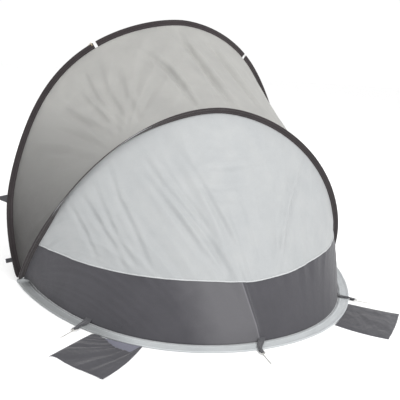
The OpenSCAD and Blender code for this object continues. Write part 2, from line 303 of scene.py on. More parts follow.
def cloth_material(
    name, color, dark, thread=0.0009, rough=0.75, weave=0.35, sheen=0.15, lets=0.0, glow=None,
    stitches=(), ribs=False, low=None, ripstop=0.0, scuff=0.25, ridge=None, shaded=None, crumple=0.22,
):
    """Woven cloth: threads in both directions, uneven dye, soft creases, rows of stitches.
    UVs are metres over the flat cloth, so threads and stitches keep their real size.
    lets: share of light let through, of colour glow; low: painted shade, darker towards the bottom, as (tone,
    from height, to height, share);
    shaded: painted shade, darker along x, as (tone, from x, to x); ridge: (x at the ground, slope, reach, tone
    of the painted light beside the ridge)."""
    g = Nodes(name)
    uv = g.new("ShaderNodeUVMap", uv_map="flat").outputs["UV"]
    obj = g.new("ShaderNodeTexCoord").outputs["Object"]
    x, y, _ = g.xyz(uv)
    place_x, _, place_z = g.xyz(obj)
    k = 2 * math.pi / thread
    wx = g.math("SINE", g.math("MULTIPLY", x, k))
    wy = g.math("SINE", g.math("MULTIPLY", y, k))
    if ribs:
        cell = g.math("ADD", g.math("MULTIPLY", wx, 0.8), g.math("MULTIPLY", wy, 0.35))
    else:
        cell = g.math("MULTIPLY", wx, wy)
    cloud = g.noise(obj, 9, 4, 0.55)
    fine = g.noise(obj, 160, 3, 0.6)
    streak = g.new("ShaderNodeMapping")
    streak.inputs["Scale"].default_value = (14, 420, 14)
    g.link(uv, streak.inputs["Vector"])
    slub = g.noise(streak.outputs[0], 1.0, 2, 0.5)
    base = g.mix(g.range(cloud, 0.3, 0.7, 0, 1), color, dark)
    threads = g.math("MULTIPLY", g.range(slub, 0.35, 0.75, 0, 1), scuff)
    base = g.mix(threads, base, toned(color, 0.82))
    specks = g.math("MULTIPLY", g.range(fine, 0.4, 0.8, 0, 1), 0.18)
    base = g.mix(specks, base, toned(color, 1.22))
    # painted shade: the colour darkens towards the bottom, from height z1 down to z0
    if low is not None:
        low_shade_tone, z0, z1, most = low
        above = g.math("ADD", place_z, g.math("MULTIPLY", cloud, 0.12))
        shade = g.math("MULTIPLY", g.range(above, z0, z1, 1, 0), most)
        base = g.mix(shade, base, low_shade_tone)
    # painted shade: the colour darkens from x0 to x1
    if shaded is not None:
        tone, x0, x1 = shaded
        base = g.mix(g.range(place_x, x0, x1, 0, 1), base, tone)
    if ridge is not None:
        # painted light: the cloth is painted paler beside the folded ridge, and a painted highlight runs along
        # its edge
        x0, slope, reach, ridge_light_tone = ridge
        e = g.math("SUBTRACT", g.math("SUBTRACT", place_x, x0), g.math("MULTIPLY", place_z, slope))
        ragged = g.math("ADD", e, g.math("MULTIPLY", cloud, 0.1))
        beside = g.range(e, -0.003, 0.006, 0, 1)
        lit = g.math("MULTIPLY", beside, g.range(ragged, reach * 0.7, reach + 0.08, 1, 0))
        base = g.mix(lit, base, ridge_light_tone)
        # painted highlight: a lighter line along the ridge's edge
        line = g.range(g.math("ABSOLUTE", e), 0.0012, 0.0052, 0.50, 0)
        base = g.mix(line, base, toned(ridge_light_tone, 2.0))
    if ripstop:
        grid = []
        for c in (x, y):
            f = g.math("FRACT", g.math("DIVIDE", c, ripstop))
            grid.append(g.math("LESS_THAN", f, 0.11))
        lines = g.math("MAXIMUM", *grid)
        base = g.mix(g.math("MULTIPLY", lines, 0.10), base, toned(color, 0.7))
        cell = g.math("ADD", cell, g.math("MULTIPLY", lines, 1.2))
    height = g.math("MULTIPLY", cell, 0.5)
    for where, length in stitches:
        off = g.math("ABSOLUTE", g.math("SUBTRACT", y, where))
        near = g.math("LESS_THAN", off, 0.0007)
        dash = g.math("LESS_THAN", g.math("FRACT", g.math("DIVIDE", x, length)), 0.62)
        s = g.math("MULTIPLY", near, dash)
        dent = g.math("LESS_THAN", off, 0.0016)
        base = g.mix(g.math("MULTIPLY", s, 0.75), base, toned(color, 1.9, 0.03))
        height = g.math("SUBTRACT", g.math("ADD", height, g.math("MULTIPLY", s, 2.2)), dent)
    g.link(base, g.p.inputs["Base Color"])
    g.link(g.range(fine, 0.2, 0.8, rough - 0.08, min(1, rough + 0.1)), g.p.inputs["Roughness"])
    soft = g.bump(g.noise(obj, 34, 4, 0.55), crumple, 0.004)
    n = g.bump(height, weave, 0.00035, soft)
    g.link(n, g.p.inputs["Normal"])
    g.p.inputs["Sheen Weight"].default_value = sheen
    g.p.inputs["Sheen Roughness"].default_value = 0.45
    g.p.inputs["Specular IOR Level"].default_value = 0.28
    if lets:
        t = g.new("ShaderNodeBsdfTranslucent")
        through = g.mix(g.range(cloud, 0.3, 0.7, 0, 1), glow, toned(glow, 0.94))
        # painted shade also darkens the light let through, towards the bottom
        if low is not None:
            through = g.mix(shade, through, low_shade_tone)
        g.link(through, t.inputs["Color"])
        g.link(n, t.inputs["Normal"])
        m = g.new("ShaderNodeMixShader")
        m.inputs[0].default_value = lets
        g.link(g.p.outputs[0], m.inputs[1])
        g.link(t.outputs[0], m.inputs[2])
        g.link(m.outputs[0], g.out.inputs["Surface"])
    return g.m


def metal_material(name, color, rough, wear=0.3):
    g = Nodes(name)
    obj = g.new("ShaderNodeTexCoord").outputs["Object"]
    cloud = g.noise(obj, 55, 4, 0.6)
    fine = g.noise(obj, 900, 2, 0.6)
    stain = g.math("MULTIPLY", g.range(cloud, 0.45, 0.75, 0, 1), wear)
    g.link(g.mix(stain, color, toned(color, 0.45)), g.p.inputs["Base Color"])
    uneven = g.math("ADD", g.math("MULTIPLY", cloud, 0.6), g.math("MULTIPLY", fine, 0.4))
    g.link(g.range(uneven, 0.3, 0.7, rough * 0.7, rough * 1.5), g.p.inputs["Roughness"])
    g.p.inputs["Metallic"].default_value = 1.0
    g.link(g.bump(fine, 0.12, 0.0002), g.p.inputs["Normal"])
    return g.m


def plastic_material(name, color, rough):
    g = Nodes(name)
    obj = g.new("ShaderNodeTexCoord").outputs["Object"]
    cloud = g.noise(obj, 120, 3, 0.6)
    g.link(g.mix(g.range(cloud, 0.35, 0.75, 0, 0.5), color, toned(color, 0.7)), g.p.inputs["Base Color"])
    g.link(g.range(cloud, 0.3, 0.7, rough - 0.08, rough + 0.12), g.p.inputs["Roughness"])
    g.link(g.bump(g.noise(obj, 700, 2, 0.5), 0.15, 0.0003), g.p.inputs["Normal"])
    return g.m


# low paints the roof darker towards the bottom, and the light it lets through: painted shade
ROOF = cloth_material(
    "roof_cloth", (0.490, 0.488, 0.474), (0.446, 0.444, 0.434), rough=0.62, weave=0.3, scuff=0.12,
    lets=0.42, glow=(0.645, 0.64, 0.615), low=((0.085, 0.082, 0.080), 0.24, 0.92, 0.96),
)
SILVER = cloth_material(
    "silver_cloth", (0.462, 0.474, 0.477), (0.425, 0.440, 0.448), rough=0.48, weave=0.3, sheen=0.2,
    scuff=0.10, crumple=0.32, lets=0.22, glow=(0.44, 0.455, 0.465),
)
# the skirt gets painted light beside its ridge and a painted highlight on the ridge's edge
DARK = cloth_material(
    "skirt_cloth", (0.0615, 0.060, 0.068), (0.053, 0.052, 0.059), rough=0.78, weave=0.5, sheen=0.25,
    thread=0.0011, scuff=0.35, crumple=0.45, ridge=(*RIDGE, 0.31, (0.109, 0.107, 0.115)),
)
POCKET = cloth_material(
    "pocket_cloth", (0.066, 0.065, 0.073), (0.056, 0.055, 0.062), rough=0.78, weave=0.5, sheen=0.25,
    thread=0.0011, scuff=0.35,
)
LINING = cloth_material(
    "pocket_lining", (0.17, 0.17, 0.21), (0.145, 0.145, 0.18), rough=0.7, weave=0.4, thread=0.0011,
)
FLOOR = cloth_material(
    "ground_cloth", (0.42, 0.43, 0.44), (0.37, 0.38, 0.39), rough=0.6, weave=0.5, thread=0.0014,
    ripstop=0.012,
)
# shaded darkens the hem from x 0.52 to 0.66: painted shade
HEM = cloth_material(
    "hem_cloth", (0.46, 0.48, 0.49), (0.41, 0.43, 0.44), rough=0.55, weave=0.35,
    shaded=((0.255, 0.265, 0.27), 0.52, 0.66), stitches=((0.012, 0.0048), (0.046, 0.0048)),
)
HEM_PLAIN = cloth_material(
    "corner_cloth", (0.34, 0.36, 0.37), (0.30, 0.315, 0.325), rough=0.55, weave=0.35,
)
SLEEVE = cloth_material(
    "sleeve_cloth", (0.034, 0.0275, 0.029), (0.025, 0.020, 0.0215), rough=0.85, weave=0.6,
    sheen=0.30, thread=0.0012, stitches=[(y, 0.0045) for y in (0.0135, 0.0285, 0.0635, 0.0485)],
)
WEB = cloth_material(
    "webbing", (0.075, 0.075, 0.082), (0.058, 0.058, 0.064), rough=0.8, weave=0.9, sheen=0.3,
    thread=0.0021, ribs=True,
)
TAPE = cloth_material(
    "seam_tape", (0.42, 0.43, 0.435), (0.38, 0.39, 0.395), rough=0.6, weave=0.4,
    stitches=((0.0045, 0.0045),),
)
STEEL = metal_material("spring_steel", (0.52, 0.53, 0.55), 0.32)
BRIGHT = metal_material("bright_wire", (0.72, 0.71, 0.68), 0.22)
COLLAR = plastic_material("collar", (0.78, 0.78, 0.76), 0.45)
TWINE = cloth_material(
    "twine", (0.48, 0.40, 0.29), (0.38, 0.31, 0.22), rough=0.9, weave=0.8, thread=0.0012, ribs=True,
)


# ---------------------------------------------------------------- mesh helpers
def mesh_object(name, verts, faces, uvs, mats, face_mat=None):
    me = bpy.data.meshes.new(name)
    me.from_pydata([tuple(v) for v in verts], [], [tuple(f) for f in faces])
    layer = me.uv_layers.new(name="flat")
    loops = np.zeros(len(me.loops), np.int32)
    me.loops.foreach_get("vertex_index", loops)
    layer.data.foreach_set("uv", np.asarray(uvs, np.float32)[loops].ravel())
    for m in mats:
        me.materials.append(m)
    if face_mat is not None:
        me.polygons.foreach_set("material_index", np.asarray(face_mat, np.int32))
    me.polygons.foreach_set("use_smooth", [True] * len(me.polygons))
    me.update()
    o = bpy.data.objects.new(name, me)
    bpy.context.scene.collection.objects.link(o)
    return o


def grid_normals(g):
    return unit(np.cross(np.gradient(g, axis=0), np.gradient(g, axis=1)))


def outward(g, up):
    """normals of a grid, turned to point along axis up at the grid point (row, column, axis)"""
    n = grid_normals(g)
    return -n if n[up] < 0 else n


def grid_area(g):
    return float(np.linalg.norm(np.cross(np.diff(g, axis=0)[:, :-1], np.diff(g, axis=1)[:-1]), axis=2).sum())


def flat_uv(g):
    """distances along the two directions of a grid, in metres; along, they are those of its middle row"""
    across = np.cumsum(np.linalg.norm(np.diff(g, axis=1), axis=2), 1)
    across = np.concatenate([np.zeros((g.shape[0], 1)), across], 1)
    along = run_length(g[:, g.shape[1] // 2])[:, None] + 0 * across
    return np.stack([along, across], -1)


def cloth(name, g, mats, thick, up):
    """closed thin skin over a grid of points, its outer side towards axis up at the grid point
    (row, column, axis) given there; the last material is on the inner side"""
    n = grid_normals(g)
    flip = n[up] < 0
    n = n * (-1 if flip else 1)
    a, b = g.shape[:2]
    uv = flat_uv(g)
    verts = np.concatenate([(g + n * thick / 2).reshape(-1, 3), (g - n * thick / 2).reshape(-1, 3)])
    uvs = np.concatenate([uv.reshape(-1, 2), uv.reshape(-1, 2)])
    idx = np.arange(a * b).reshape(a, b)
    q = np.stack([idx[:-1, :-1], idx[1:, :-1], idx[1:, 1:], idx[:-1, 1:]], -1).reshape(-1, 4)
    if flip:
        q = q[:, ::-1]
    low = q[:, ::-1] + a * b
    loop = np.concatenate([idx[:, 0], idx[-1, 1:], idx[-2::-1, -1], idx[0, -2:0:-1]])
    nxt = np.roll(loop, -1)
    rim = np.stack([loop, loop + a * b, nxt + a * b, nxt], -1)
    if flip:
        rim = rim[:, ::-1]
    faces = np.concatenate([q, low, rim])
    mat = np.concatenate([np.zeros(len(q)), np.full(len(low), len(mats) - 1), np.zeros(len(rim))]).astype(int)
    return mesh_object(name, verts, faces, uvs, mats, mat)


def ring_faces(rings, m):
    """faces between rings of m points each, and a cap on both ends"""
    faces = []
    for i in range(rings - 1):
        for j in range(m):
            k = (j + 1) % m
            faces.append((i * m + j, (i + 1) * m + j, (i + 1) * m + k, i * m + k))
    return faces + [tuple(range(m)), tuple(reversed(range((rings - 1) * m, rings * m)))]


def sweep(name, path, across1, across2, section, ring, mat):
    """section (points x, y per step) carried along a path with the two given directions;
    ring is the section in millimetres before it was shaped, and gives the cloth's flat width"""
    m, c = section.shape[1], len(path)
    offset = section[:, :, 0:1] * across1[:, None, :] + section[:, :, 1:2] * across2[:, None, :]
    verts = (path[:, None, :] + offset).reshape(-1, 3)
    uvs = np.stack([np.repeat(run_length(path), m), np.tile(run_length(ring) / 1000, c)], 1)
    return mesh_object(name, verts, ring_faces(c, m), uvs, [mat])


def set_blend(obj):
    """bakes the object's transform into its mesh"""
    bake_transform(obj)


def finish_cad(node, material):
    """a better material on a CAD solid"""
    o = next(p for p in bpy.context.scene.objects if p.get("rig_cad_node") == node)
    o.data.materials.clear()
    o.data.materials.append(material)


# ---------------------------------------------------------------- how the rear sleeve's fin lies
def fin_turn(u):
    """how far the flat part of the rear sleeve turns forward; most where the roof pulls, on the left"""
    left = step(u, 0.57, 0.735) * (1 - step(u, 0.79, 0.89))
    return np.radians(10 + 54 * left)


def rear_seam(u, side):
    """seam line of the roof (side -1) or of the wall (side 1) at the inner edge of the rear sleeve"""
    f = fin_turn(u)
    out = -SEAM_DEEP * np.cos(f) + SEAM_GAP * side * np.sin(f)
    return at("rear", u, out, -SEAM_DEEP * np.sin(f) + SEAM_GAP * side * np.cos(f))


def front_seam(u):
    return at("front", u, -SEAM_DEEP + 0 * u, SEAM_GAP + 0 * u)


# ---------------------------------------------------------------- roof canopy
# depth, width, and points as share along and share towards the front
ROOF_FOLDS = (
    (0.021, 0.028, ((0.525, 1.0), (0.504, 0.69), (0.481, 0.40), (0.455, 0.02))),
    (0.017, 0.019, ((0.585, 0.78), (0.562, 0.53), (0.553, 0.35), (0.543, 0.05))),
    (0.020, 0.027, ((0.462, 0.92), (0.426, 0.56), (0.395, 0.25))),
    (0.008, 0.024, ((0.648, 0.92), (0.665, 0.49), (0.663, 0.08))),
    (0.011, 0.022, ((0.745, 0.85), (0.717, 0.40), (0.690, 0.04))),
    (0.010, 0.020, ((0.703, 0.80), (0.692, 0.36), (0.680, 0.04))),
    (0.011, 0.024, ((0.772, 0.75), (0.735, 0.26), (0.714, 0.02))),
    (0.009, 0.024, ((0.632, 0.70), (0.643, 0.38), (0.646, 0.08))),
    (0.007, 0.022, ((0.820, 0.90), (0.766, 0.30), (0.736, 0.02))),
    (0.008, 0.018, ((0.675, 0.88), (0.682, 0.50), (0.672, 0.06))),
)


def make_roof():
    nu, nv = 420, 110
    u = np.linspace(0.006, 0.994, nu)[:, None] + np.zeros((1, nv))
    v = np.linspace(0, 1, nv)[None, :] + np.zeros((nu, 1))
    a, b = rear_seam(u[:, 0], -1), front_seam(u[:, 0])
    g = a[:, None] * (1 - v[..., None]) + b[:, None] * v[..., None]
    width = np.linalg.norm(b - a, axis=1)[:, None]
    cut = grid_area(g)
    up = (nu // 2, nv // 2, 2)
    n = outward(g, up)
    hold = np.sin(math.pi * v) ** 0.45 * np.clip(width / 0.5, 0, 1)
    long = 4.0  # metres along the hoops, roughly
    s, t = u * long, v * width
    # tension folds fan out from two places on the rear hoop, and a few run straight across
    d = 0 * v
    for where, share, seed in ((0.705, 1.0, 3.1), (0.30, 0.75, 8.4)):
        side_ = s - where * long
        ang, far = np.arctan2(side_, t + 0.10), np.hypot(side_, t + 0.10)
        fade_ = step(far, 0.10, 0.30) * (1 - step(far, 0.75, 1.15)) * share
        wide = crease(noise_uv(ang, far, 5.5, 0.9, seed)) * 0.0050
        d = d + fade_ * (wide + noise_uv(ang, far, 13, 1.8, seed + 2) * 0.0036)
    d = d * np.where(u < 0.5, 0.6, 1.0) + fold_lines(u, v, (3.4, 0.75), ROOF_FOLDS)
    d = d + crease(noise_uv(s, t, 6.0, 1.2, 5.2)) * 0.0016 + noise_uv(s, t, 11, 8, 1.9) * 0.0020
    d = d * hold
    # short puckers at the sewn edges
    near = np.exp(-v * width / 0.055) + np.exp(-(1 - v) * width / 0.055)
    near = near * step(width, 0.05, 0.2) * np.sqrt(np.clip(np.sin(math.pi * v), 0, 1))
    d = d + noise_uv(s, t, 34, 5, 5.5) * 0.0046 * near
    # the cloth hangs in a little between the hoops
    sag = -0.010 * np.sin(math.pi * v) * np.clip(width / 0.5, 0, 1)
    g = g + n * (d + sag)[..., None]
    o = cloth("roof_sheet", g, [ROOF], 0.0007, up)
    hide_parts("roof_canopy")
    set_blend(o)
    return o, cut


# ---------------------------------------------------------------- rear wall and skirt, cut at the seam
def seam_height(u):
    """the seam dips to the middle strap and climbs a little on the right"""
    return 0.243 - 0.011 * np.exp(-(((u - 0.49) / 0.055) ** 2)) + 0.021 * step(0.42 - u, 0, 0.115)


def wall_foot(u):
    """where the skirt is sewn to the hem"""
    return at("back", u, -HEM_W - 0.004 + 0 * u, 0 * u) + np.array([0, 0, 0.0010])


def wall_base(u, v):
    """the wall without folds, u along and v up"""
    a, b = wall_foot(u), rear_seam(u, 1)
    return a * (1 - v[..., None]) + b * v[..., None]


def wall_tall(u):
    return np.linalg.norm(rear_seam(u, 1) - wall_foot(u), axis=-1)


def seam_share(u):
    """share of the way up at which the seam between skirt and panel lies"""
    a, b = wall_foot(u)[..., 2], rear_seam(u, 1)[..., 2]
    return np.clip((seam_height(u) - a) / np.maximum(b - a, 1e-6), 0, 1)


# depth, width, and points as share along and share up
WALL_FOLDS = (
    (0.0085, 0.015, ((0.665, 0.82), (0.611, 0.57), (0.569, 0.38), (0.535, 0.26))),
    (0.0075, 0.015, ((0.600, 0.88), (0.566, 0.73), (0.543, 0.59), (0.500, 0.36))),
    (0.0075, 0.014, ((0.722, 0.96), (0.706, 0.72), (0.683, 0.53), (0.658, 0.31))),
    (0.0080, 0.015, ((0.785, 0.94), (0.747, 0.63), (0.704, 0.34))),
    (0.0085, 0.014, ((0.664, 0.93), (0.628, 0.72), (0.593, 0.58), (0.552, 0.42), (0.522, 0.27))),
    (0.0070, 0.014, ((0.812, 0.95), (0.762, 0.44))),
    (0.0060, 0.015, ((0.755, 0.92), (0.720, 0.54), (0.682, 0.31))),
    (0.0060, 0.013, ((0.635, 0.87), (0.598, 0.67), (0.540, 0.42))),
    (-0.0130, 0.014, ((0.300, 0.97), (0.378, 0.58), (0.426, 0.28))),
    (0.0055, 0.024, ((0.368, 0.86), (0.407, 0.59), (0.422, 0.33))),
    (0.0032, 0.010, ((0.555, 0.75), (0.491, 0.75), (0.418, 0.79))),
    (0.0030, 0.010, ((0.565, 0.67), (0.520, 0.65), (0.462, 0.67))),
    (0.0026, 0.010, ((0.548, 0.60), (0.488, 0.60))),
)


def wall_shape(u, v):
    """the wall with its folds, u along and v up"""
    g = wall_base(u, v)
    n = outward(g, (g.shape[0] // 2, g.shape[1] // 2, 1))
    tall = wall_tall(u)
    s, t = g[..., 0], v * tall
    # folds fan out from the hem towards the hoop; q names the fold a point lies on
    q = (s + 0.25) / (0.40 + 0.60 * v) - 0.25
    hold = np.clip(np.sin(math.pi * np.clip(v, 0, 1)), 0, 1) ** 0.5 * step(tall, 0.10, 0.42)
    hold = hold * (0.30 + 0.70 * step(t, 0.17, 0.30))
    calm = 1 - 0.65 * np.exp(-(((q + 0.10) / 0.26) ** 2)) * step(v, 0.45, 0.7)
    fan = crease(noise_uv(q, v, 7.0, 0.5, 2.2)) * 0.0058 * calm
    fan = fan + noise_uv(q, v, 19.0, 1.2, 6.2) * 0.0036 * calm
    # small creases where the cloth was folded, stronger in the upper middle
    top_ = step(v, 0.35, 0.7) * np.exp(-(((s + 0.05) / 0.45) ** 2))
    small = noise_uv(s, t, 9, 26, 4.4) * 0.0022 * (0.35 + top_) + noise_uv(s, t, 30, 22, 7.4) * 0.0009
    hem_pull = noise_uv(s, t, 30, 3, 9.1) * 0.0030 * np.exp(-t / 0.05)
    top_pull = noise_uv(s, t, 26, 3, 1.1) * 0.0038 * np.exp(-(1 - v) * tall / 0.06)
    d = (fan + small + fold_lines(u, v, (2.6, 0.85), WALL_FOLDS)) * hold
    d = d + (hem_pull + top_pull) * np.clip(np.sin(math.pi * v) * 3, 0, 1)
    # folded ridge down to the middle peg strap, soft on the left and sharp on the right
    e = s - (RIDGE[0] + 0.179 * v)
    tooth = np.where(e > 0, np.exp(-e / 0.120), np.exp(e / 0.011))
    d = d + 0.019 * tooth * step(v, 0.0, 0.07) * (1 - step(v, 0.24, 0.40))
    # the cloth hangs in a little, and stands out near its right end
    sag = 0.006 * np.sin(math.pi * v) * np.clip(tall / 0.5, 0, 1)
    sag = sag - 0.011 * np.exp(-(((u - 0.13) / 0.06) ** 2)) * np.sin(math.pi * np.clip(v / 0.8, 0, 1))
    return g + n * (d - sag)[..., None]


def wall_grid(u0, u1, nu, nv, part):
    """grid of the skirt, from hem to seam, or of the panel, from seam to hoop"""
    u = np.linspace(u0, u1, nu)[:, None] + np.zeros((1, nv))
    q = np.linspace(0, 1, nv)[None, :] + np.zeros((nu, 1))
    s = seam_share(u)
    v = q * s if part == "skirt" else s + q * (1 - s)
    return u, v, sample(u, v)


_fine_u = np.linspace(0.004, 0.996, 460)
_fine_v = np.linspace(0, 1, 170)
_fine = wall_shape(_fine_u[:, None] + 0 * _fine_v[None], _fine_v[None] + 0 * _fine_u[:, None])


def sample(u, v):
    """reads the finished wall between its fine grid's points"""
    a = (u - _fine_u[0]) / (_fine_u[1] - _fine_u[0])
    b = (v - _fine_v[0]) / (_fine_v[1] - _fine_v[0])
    i = np.clip(a.astype(int), 0, len(_fine_u) - 2)
    j = np.clip(b.astype(int), 0, len(_fine_v) - 2)
    fa, fb = (a - i)[..., None], (b - j)[..., None]
    return (
        _fine[i, j] * (1 - fa) * (1 - fb) + _fine[i + 1, j] * fa * (1 - fb)
        + _fine[i, j + 1] * (1 - fa) * fb + _fine[i + 1, j + 1] * fa * fb
    )


def seam_end(us):
    """where the seam meets the rear hoop: the first share along at which the hoop is as high"""
    return float(us[np.argmax(rear_seam(us, 1)[:, 2] > seam_height(us) + 0.0012)])


def make_wall():
    us = np.linspace(0.02, 0.2, 2000)
    seam = (seam_end(us), seam_end(1 - us))
    made = {}
    for part, u0, u1, nu, nv, mat, slot_ in (
        ("skirt", 0.0045, 0.9955, 320, 44, DARK, "skirt_fabric"),
        ("panel", *seam, 330, 110, SILVER, "silver_fabric"),
    ):
        u, v, g = wall_grid(u0, u1, nu, nv, part)
        o = cloth("wall_" + part + "_sheet", g, [mat], 0.0008, (nu // 2, nv // 2, 1))
        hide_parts("wall_" + part)
        set_blend(o)
        made[part] = (o, grid_area(wall_base(u, v)))
    # pale tape over the seam between panel and skirt
    nu, nv = 300, 4
    u = np.linspace(*seam, nu)[:, None] + np.zeros((1, nv))
    v = np.clip(seam_share(u) + np.linspace(-0.0008, 0.0072, nv)[None] / wall_tall(u), 0, 1)
    g = sample(u, v)
    lift = 0.0013 + 0.0004 * noise_uv(u, v, 120, 4, 2.0)
    g = g + outward(g, (nu // 2, 0, 1)) * lift[..., None]
    tape = cloth("seam_tape_strip", g, [TAPE], 0.0010, (nu // 2, 1, 1))
    set_blend(tape)
    return made, tape


# ---------------------------------------------------------------- sleeves
# half of the section round the wire and back along both layers, in millimetres out and across
SLEEVE_RING = (
    (7.0, 0.0), (6.5, 2.2), (4.9, 3.9), (2.0, 4.7), (-1.8, 4.3), (-5.4, 3.0),
    (-10.0, 2.0), (-16.0, 1.6), (-22.0, 1.5), (-26.2, 1.6), (-27.6, 1.0),
)


def sleeve(part, k, u0, u1, steps_, seed, gathered=(), turn=None, full=0.9, pinch=0.55, ease=0.022):
    """a length of sleeve; gathered: which ends (0, 1) are drawn together at a corner, full: how much
    they puff up there, pinch: how thin the very end gets, ease: over what length"""
    u = np.linspace(u0, u1, steps_)
    path = curve(k, u)
    _, o, c = axes(k, u)
    d = run_length(path)
    # cloth lies round the wire, then both layers run together to the sewn edge
    ring = np.array(SLEEVE_RING + tuple((x, -y) for x, y in SLEEVE_RING[:0:-1]))
    sec = np.repeat(ring[None] / 1000.0, len(u), 0)
    wob = noise_line(d, 14, seed)[:, None]
    fine = noise_line(d, 60, seed + 3)[:, None]
    tight = noise_line(d, 5, seed + 7)[:, None]
    depth = np.clip((-ring[:, 0] - 2) / 23, 0, 1)[None]
    side = np.sign(ring[:, 1])[None]
    sec[:, :, 1] += (wob * 0.0016 + fine * 0.0007) * depth * (1 - depth**6)
    sec[:, :, 1] += side * np.abs(fine) * 0.0008 * depth * (1 - depth) * 4
    sec[:, :, 0] = sec[:, :, 0] * (1 + 0.03 * tight * depth)
    for end in gathered:
        from_end = (d[-1] - d if end else d)[:, None]
        bunch = np.exp(-(((from_end - 0.035) / 0.035) ** 2))
        tip = pinch + (1 - pinch) * step(from_end, -0.004, ease)
        sec[:, :, 0] *= (1 + 0.14 * bunch) * tip
        sec[:, :, 1] *= (1 + full * bunch) * tip
    f = (turn(u) if turn else np.zeros_like(u))[:, None]
    out = sec[:, :, 0] * np.cos(f) + sec[:, :, 1] * np.sin(f)
    across = sec[:, :, 0] * np.sin(f) + sec[:, :, 1] * np.cos(f)
    obj = sweep(part + "_cloth", path, o, c, np.stack([out, across], -1), ring, SLEEVE)
    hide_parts(part)
    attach(obj, k + "_hoop")


# ---------------------------------------------------------------- hems and ground sheet
def hem(part, k, u0, u1, steps_, width, seed):
    """strip folded round a floor wire, flat on the ground behind it"""
    u = np.linspace(u0, u1, steps_)
    path = curve(k, u)
    _, o, _ = axes(k, u)
    upv = np.zeros_like(o)
    upv[:, 2] = 1
    d = run_length(path)
    w = width * 1000
    # section in millimetres, out and up
    top = [(5.4, 0.0), (4.9, 2.0), (3.2, 3.6), (0.6, 4.1), (-2.6, 3.4), (-6, 1.6), (-10, 0.5)]
    top += [(-10 - (w - 10) * t, 0.3) for t in (0.2, 0.4, 0.6, 0.8, 1.0)]
    low = [(-10 - (w - 10) * t, -0.6) for t in (1.0, 0.8, 0.6, 0.4, 0.2)]
    low += [(-10, -1.0), (-6, -2.6), (-2.6, -3.6), (0.6, -4.1), (3.2, -3.6), (4.9, -2.0)]
    ring = np.array(top + low)
    sec = np.repeat(ring[None] / 1000.0, len(u), 0)
    flat = np.clip((-ring[:, 0] - 6) / (w - 6), 0, 1)
    calm = step(np.minimum(d, d[-1] - d), 0.03, 0.11)
    lift = 0.0021 * noise_line(d, 11, seed, 1) + 0.0013 * noise_line(d, 37, seed, 4)
    shift = 0.0008 * noise_line(d, 25, seed, 8)
    for i, x in enumerate(d):
        cross = np.array([noise.noise(Vector((x * 16 + r * 1.2, r * 2.2, seed + 2))) for r in flat])
        sec[i, :, 1] += calm[i] * (np.abs(lift[i]) + cross * 0.0021) * np.sin(math.pi * flat)
        sec[i, :, 0] += shift[i] * (ring[:, 0] > 0)
    sec[:, :, 1] = np.maximum(sec[:, :, 1], -HEM_Z + 0.0001)
    obj = sweep(part + "_strip", path, o, upv, sec, ring, HEM)
    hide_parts(part)
    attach(obj, "floor")
    return obj


def make_floor():
    reach = 0.90
    xs = np.linspace(-reach, reach, 170)
    uu = np.linspace(0.004, 0.996, 900)

    def edge_at(k, inwards):
        edge = at(k, uu, -inwards + 0 * uu, 0 * uu)
        order = np.argsort(edge[:, 0])
        return np.interp(xs, edge[order, 0], edge[order, 1])

    y0, y1 = edge_at("sill", 0.027), edge_at("back", HEM_W - 0.004)
    nv = 96
    q = np.linspace(0, 1, nv)[None]
    y = y0[:, None] * (1 - q) + y1[:, None] * q
    x = xs[:, None] + 0 * y
    # soft folds and ripples, none at the edges, which lie a little higher on the hems
    z = 0.0052 * np.clip(0.25 + crease(noise_uv(x, y, 3.6, 6.5, 3.3)) * 0.5, 0, 1) ** 2
    z += 0.0016 * np.clip(noise_uv(x, y, 17, 12, 6.6), 0, 1)
    inside = np.clip(np.minimum(q, 1 - q) * (y1 - y0)[:, None] / 0.03, 0, 1)
    inside = inside * step(reach - np.abs(x), 0, 0.04)
    z = 0.0016 + z * inside + 0.0012 * (1 - inside)
    o = cloth("ground_sheet", np.stack([x, y, z], -1), [FLOOR], 0.0012, (80, 40, 2))
    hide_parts("floor_sheet")
    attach(o, "floor")
    return o, grid_area(np.stack([x, y, 0 * z], -1))


# ---------------------------------------------------------------- sand pockets
# a and b: ends of the seam, in half spans; out_a and out_b: how far each outer corner lies from a,
# in metres away from the floor and along the seam; bow: how both ends curve; then fold sizes
POCKETS = {
    "left": dict(
        a=(0.725, 0.614), b=(0.521, 0.767), out_a=(0.228, -0.079), out_b=(0.302, 0.186), seed=1.3,
        uneven=0.005, round_=0.007, bow=(0.002, 0.013), fan=0.0044, ripple=0.0022, lip=1.0,
    ),
    "right": dict(
        a=(-0.509, 0.788), b=(-0.729, 0.594), out_a=(0.268, 0.022), out_b=(0.270, 0.331), seed=6.1,
        uneven=0.0012, round_=0.005, bow=(0.012, -0.003), fan=0.0010, ripple=0.0050, lip=0.15,
    ),
}
POCKET_Z = 0.0012  # lower layer above the ground, and upper layer above the lower


